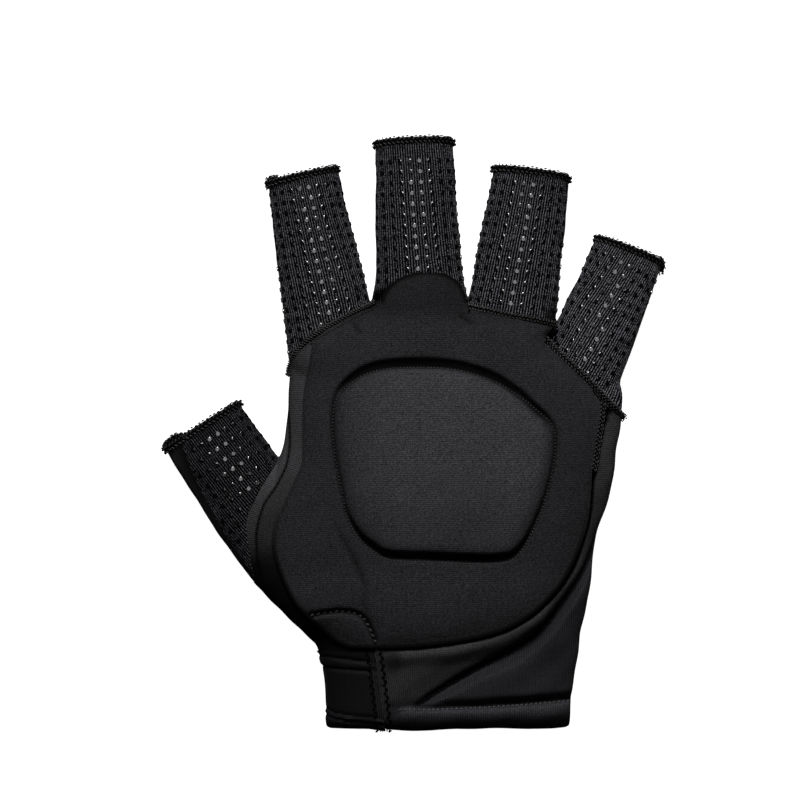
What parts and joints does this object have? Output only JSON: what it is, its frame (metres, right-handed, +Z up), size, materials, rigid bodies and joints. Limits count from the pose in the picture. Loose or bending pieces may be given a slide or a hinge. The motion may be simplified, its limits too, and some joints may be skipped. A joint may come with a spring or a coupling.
{
  "type": "field hockey glove",
  "caption": "Half-finger left-hand glove with a quilted foam palm pad, ribbed elastic finger sleeves, a smooth thumb guard and a wrist strap; open at the wrist and fingertips.",
  "frame": {"origin": "on the surface that the glove lies on, below the middle of its outline", "axes": "+X across the palm from the thumb to the little finger, +Y from the wrist to the fingertips, +Z up out of the palm"},
  "size_m": [0.1597, 0.1896, 0.028],
  "materials": {
    "pad_foam": "matte jersey laminated to foam",
    "rib_knit": "ribbed elastic knit",
    "smooth_knit": "smooth fine knit over neoprene",
    "overlock_thread": "overlocked thread"
  },
  "bodies": {
    "root": {"palm_pad": "pad_foam", "side_band": "rib_knit", "thumb_web": "rib_knit", "hand_back": "smooth_knit", "thumb_guard": "smooth_knit", "wrist_strap": "smooth_knit", "strap_top_binding": "smooth_knit", "strap_bottom_binding": "smooth_knit", "cuff_hem": "smooth_knit", "thumb_sleeve": "rib_knit", "index_sleeve": "rib_knit", "middle_sleeve": "rib_knit", "ring_sleeve": "rib_knit", "little_sleeve": "rib_knit", "thumb_hem": "overlock_thread", "index_hem": "overlock_thread", "middle_hem": "overlock_thread", "ring_hem": "overlock_thread", "little_hem": "overlock_thread", "index_seam": "overlock_thread", "ring_seam": "overlock_thread", "little_seam": "overlock_thread", "side_seam": "overlock_thread"}
  },
  "joints": []
}
